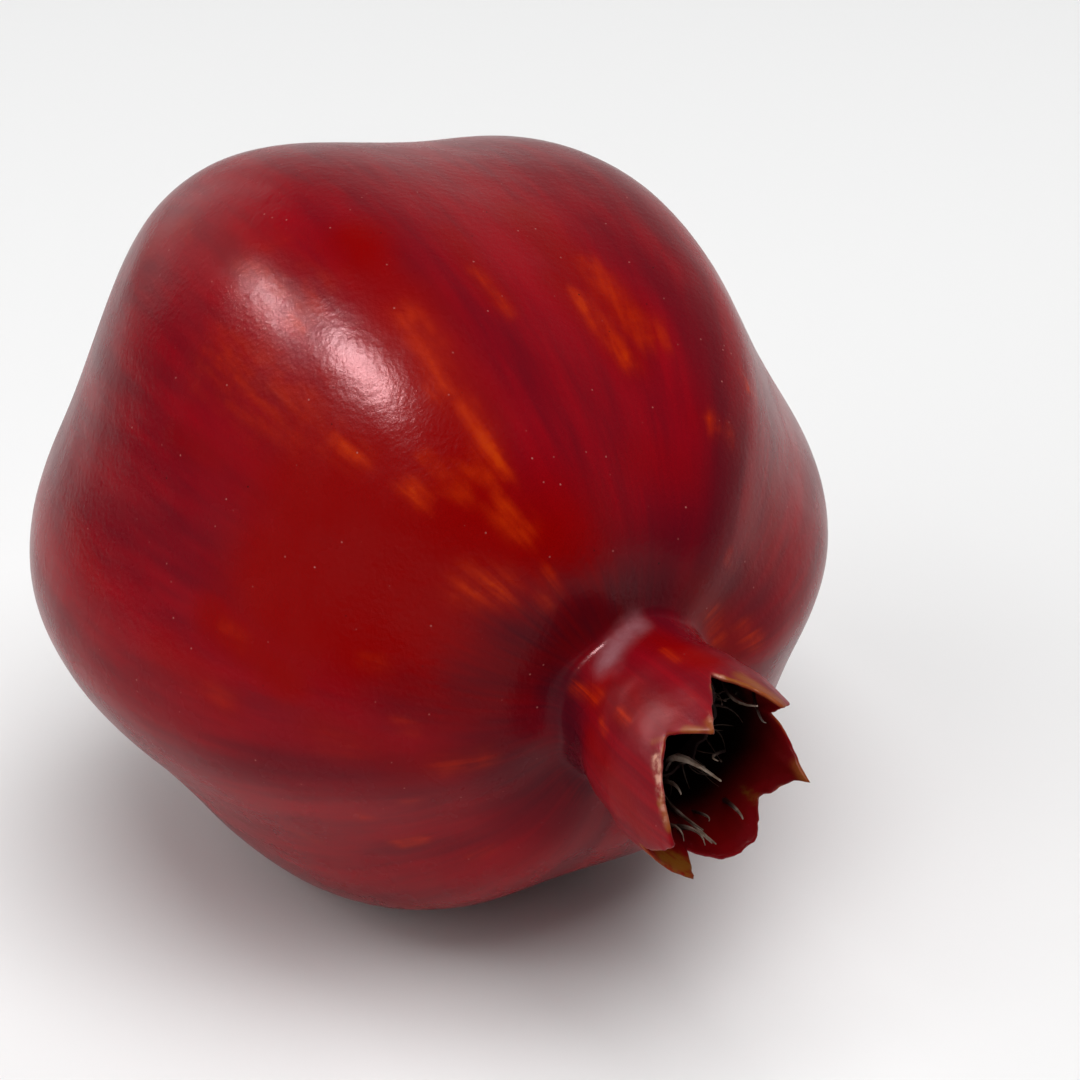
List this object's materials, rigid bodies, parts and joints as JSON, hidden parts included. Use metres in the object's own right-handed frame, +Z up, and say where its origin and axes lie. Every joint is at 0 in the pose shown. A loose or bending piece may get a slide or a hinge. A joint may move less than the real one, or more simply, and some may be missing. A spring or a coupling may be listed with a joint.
{
  "type": "pomegranate",
  "caption": "Whole ripe pomegranate lying on its side, with a softly ridged rind, an open toothed crown holding dried stamens, and a short woody stalk stub.",
  "frame": {"origin": "middle of the small flat spot on the underside, where the fruit rests on a surface", "axes": "+Z up; the fruit's axis lies along Y, with the crown towards -Y and the stalk end towards +Y; +X is to the right as seen when looking at the crown"},
  "size_m": [0.0894, 0.1131, 0.0844],
  "materials": {
    "rind": "satin",
    "dried_stamens": "matte",
    "woody_stalk": "matte"
  },
  "bodies": {
    "root": {"fruit": "rind", "stamens": "dried_stamens", "stalk_stub": "woody_stalk"}
  },
  "joints": []
}
